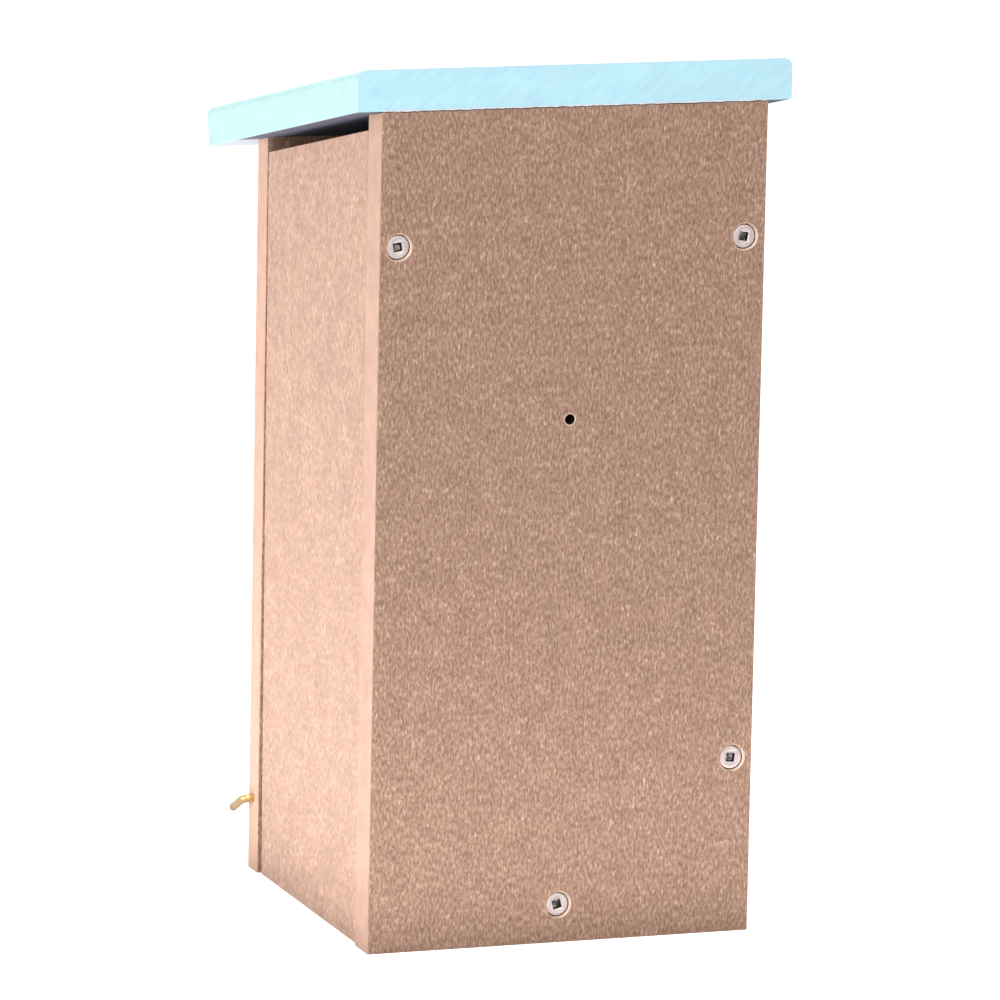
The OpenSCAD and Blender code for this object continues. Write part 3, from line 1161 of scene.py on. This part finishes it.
class NESTBOX_OT_build_lips(bpy.types.Operator):
    """Builds the cut walls and torn lips round the countersinks and the mounting hole"""

    bl_idname = "nestbox.build_lips"
    bl_label = "Build Torn Lips"

    def execute(self, context):
        settings = context.scene.nest_box
        tan = torn_material("torn_tan", settings.boards.torn)
        blue = torn_material("torn_blue", settings.roof.torn)
        # Painted shade for the gaps under the heads' rims and on the mounting hole's drilled wall
        shade = shade_material("gap_shade", GAP_SHADE_COLOR, 2600.0, 0.6)
        model = model_lip(settings.screws, tan, blue, shade)
        to_face = Matrix.Translation((0.0, 0.0, HEAD_SINK))
        for seed, (node_name, (face, _)) in enumerate(SCREW_PLACES.items()):
            lip = copy_to(model, f"lip_{node_name}", head_place(node_name) @ to_face)
            lip.data.materials[0] = finish_of(FACE_BOARDS[face])
            lip.data.materials[1] = blue if face == "roof" else tan
            tear(lip, LIP_TEAR, seed)
            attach(lip, BOX_BODY)
        discard(model)

        model = model_hole_lip(settings.screws, tan, shade)
        hole_lip = copy_to(model, "lip_mount_hole", FACE_TURNS["rear"])
        discard(model)
        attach(hole_lip, BOX_BODY)
        return {"FINISHED"}


def model_burr(name, thickness, rise, raggedness):
    """A ragged thread along the roof's lower rear edge, raised over the back panel: the saw burr, or
    the line of painted shade in the seam.
    """
    half_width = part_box("back_panel")[1][0] - BURR_END_GAP
    edge = Vector((0.0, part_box("roof_panel")[1][1] - BURR_INSET, back_top() + rise))
    clear_selection()
    bpy.ops.mesh.primitive_cube_add(size=1.0, location=edge)
    burr = bpy.context.object
    burr.name = name
    bpy.ops.transform.resize(value=(2.0 * half_width, thickness, thickness))
    bpy.ops.object.transform_apply(location=True, rotation=True, scale=True)

    def runs_along(line):
        first, second = (burr.data.vertices[index].co for index in line.vertices)
        return abs(first.x - second.x) > half_width

    select_where(burr, "EDGE", runs_along)
    bpy.ops.mesh.subdivide(number_cuts=BURR_CUTS)
    bpy.ops.mesh.select_all(action="SELECT")
    bpy.ops.transform.vertex_random(offset=raggedness, uniform=1.0, seed=BURR_SEED)
    close_solid(math.radians(50))
    return burr


class NESTBOX_OT_build_burr(bpy.types.Operator):
    """Builds the ragged saw burr along the roof's lower rear edge and the line of painted shade in
    the seam under it
    """

    bl_idname = "nestbox.build_burr"
    bl_label = "Build Saw Burr"

    def execute(self, context):
        look = context.scene.nest_box.roof
        burr = model_burr("roof_saw_burr", *BURR_SIZES)
        burr.data.materials.append(torn_material("torn_roof_edge", look.torn))
        # Painted shadow: a dark ragged line in the seam under the burr
        seam = model_burr("roof_seam_dirt", *SEAM_SIZES)
        seam.data.materials.append(torn_material("seam_dirt", SEAM_SHADE_COLOR))
        for piece in (burr, seam):
            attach(piece, BOX_BODY)
        return {"FINISHED"}


def camera_axes(studio):
    """The camera's right, up and backward directions."""
    level = Vector((math.sin(studio.yaw), math.cos(studio.yaw), 0.0))
    back = level * math.cos(studio.pitch) + Vector((0.0, 0.0, math.sin(studio.pitch)))
    right = back.cross(Vector((0.0, 0.0, -1.0))).normalized()
    up = back.cross(right)
    turned_right = right * math.cos(studio.roll) + up * math.sin(studio.roll)
    turned_up = up * math.cos(studio.roll) - right * math.sin(studio.roll)
    return turned_right, turned_up, back


def add_lamp(name, place, target, width, power):
    """A square white soft lamp that faces its target and isn't seen itself."""
    bpy.ops.object.light_add(type="AREA", location=place)
    lamp = bpy.context.object
    lamp.name = name
    lamp.data.shape = "SQUARE"
    lamp.data.size = width
    lamp.data.energy = power
    lamp.visible_camera = False
    direction = Vector(target) - Vector(place)
    lamp.rotation_euler = direction.to_track_quat("-Z", "Y").to_euler()
    return lamp


def white_to_the_eye(tree):
    """1 for camera, glossy and transmission rays, 0 for the rays that light the object."""
    path = tree.nodes.new("ShaderNodeLightPath")
    seen = math_node(
        tree, "MAXIMUM", path.outputs["Is Camera Ray"], path.outputs["Is Glossy Ray"]
    )
    return math_node(tree, "MAXIMUM", seen, path.outputs["Is Transmission Ray"])


class NESTBOX_OT_set_stage(bpy.types.Operator):
    """Sets the floor, the soft lamps, the room light and the camera"""

    bl_idname = "nestbox.set_stage"
    bl_label = "Set Stage"

    def execute(self, context):
        studio = context.scene.nest_box.studio
        clear_selection()
        bpy.ops.mesh.primitive_plane_add(
            size=studio.floor_size, location=(0.0, 0.0, cad_low.z - FLOOR_GAP)
        )
        floor = context.object
        floor.name = "studio_floor"
        material, tree, shader = new_material("studio_white")
        shader.inputs["Base Color"].default_value = FLOOR_COLOR
        shader.inputs["Roughness"].default_value = 0.9
        shader.inputs["Specular IOR Level"].default_value = 0.0
        path = tree.nodes.new("ShaderNodeLightPath")
        lift = math_node(tree, "MULTIPLY", path.outputs["Is Camera Ray"], studio.floor_white)
        tree.links.new(lift, shader.inputs["Emission Strength"])
        shader.inputs["Emission Color"].default_value = WHITE
        floor.data.materials.append(material)

        world = bpy.data.worlds.new("studio_room")
        world.use_nodes = True
        context.scene.world = world
        room = world.node_tree
        background = room.nodes["Background"]
        seen = white_to_the_eye(room)
        background.inputs["Color"].default_value = WHITE
        strength = math_node(room, "MULTIPLY", seen, 1.0 - studio.ambient)
        strength = math_node(room, "ADD", strength, studio.ambient)
        room.links.new(strength, background.inputs["Strength"])

        for name, place, width, setting in LAMPS:
            add_lamp(name, place, LAMP_TARGET, width, getattr(studio, setting))
        lamp_height = cad_low.z + PATCH_HEIGHT
        for name, place, width, depth, glow, mirrored in GLOW_PATCHES:
            patch = add_lamp(
                name,
                (*place, lamp_height),
                (*place, 1.0),
                width,
                math.pi * width * depth * glow * studio.floor_glow,
            )
            patch.visible_glossy = mirrored
            patch.data.shape = "RECTANGLE"
            patch.data.size_y = depth
            patch.rotation_euler = (math.pi, 0.0, 0.0)

        right, up, back = camera_axes(studio)
        bpy.ops.object.camera_add()
        camera = context.object
        camera.name = "photo_camera"
        camera.data.sensor_width = SENSOR_WIDTH
        camera.data.lens = studio.lens
        camera.data.clip_end = 60.0
        turn = Matrix((right, up, back)).transposed().to_4x4()
        camera.matrix_world = (
            Matrix.Translation(Vector(studio.target) + back * studio.distance) @ turn
        )
        context.scene.camera = camera
        context.scene.view_settings.view_transform = "Standard"
        return {"FINISHED"}


class NESTBOX_PT_panel(bpy.types.Panel):
    """The nest box's steps in the sidebar"""

    bl_label = "Bluebird Nest Box"
    bl_idname = "NESTBOX_PT_panel"
    bl_space_type = "VIEW_3D"
    bl_region_type = "UI"
    bl_category = "Nest Box"

    def draw(self, context):
        for operator in STEPS:
            self.layout.operator(operator.bl_idname)


STEPS = (
    NESTBOX_OT_finish_boards,
    NESTBOX_OT_finish_roof,
    NESTBOX_OT_build_screws,
    NESTBOX_OT_build_hook,
    NESTBOX_OT_build_lips,
    NESTBOX_OT_build_burr,
    NESTBOX_OT_set_stage,
)
CLASSES = (
    BoardLook,
    RoofLook,
    ScrewShape,
    HookShape,
    Studio,
    NestBoxSettings,
    *STEPS,
    NESTBOX_PT_panel,
)


def register():
    for item in CLASSES:
        bpy.utils.register_class(item)
    bpy.types.Scene.nest_box = PointerProperty(type=NestBoxSettings)


def unregister():
    del bpy.types.Scene.nest_box
    for item in reversed(CLASSES):
        bpy.utils.unregister_class(item)


def main():
    register()
    bpy.ops.nestbox.finish_boards()
    bpy.ops.nestbox.finish_roof()
    bpy.ops.nestbox.build_screws()
    bpy.ops.nestbox.build_hook()
    bpy.ops.nestbox.build_lips()
    bpy.ops.nestbox.build_burr()
    bpy.ops.nestbox.set_stage()


if __name__ == "__main__":
    main()
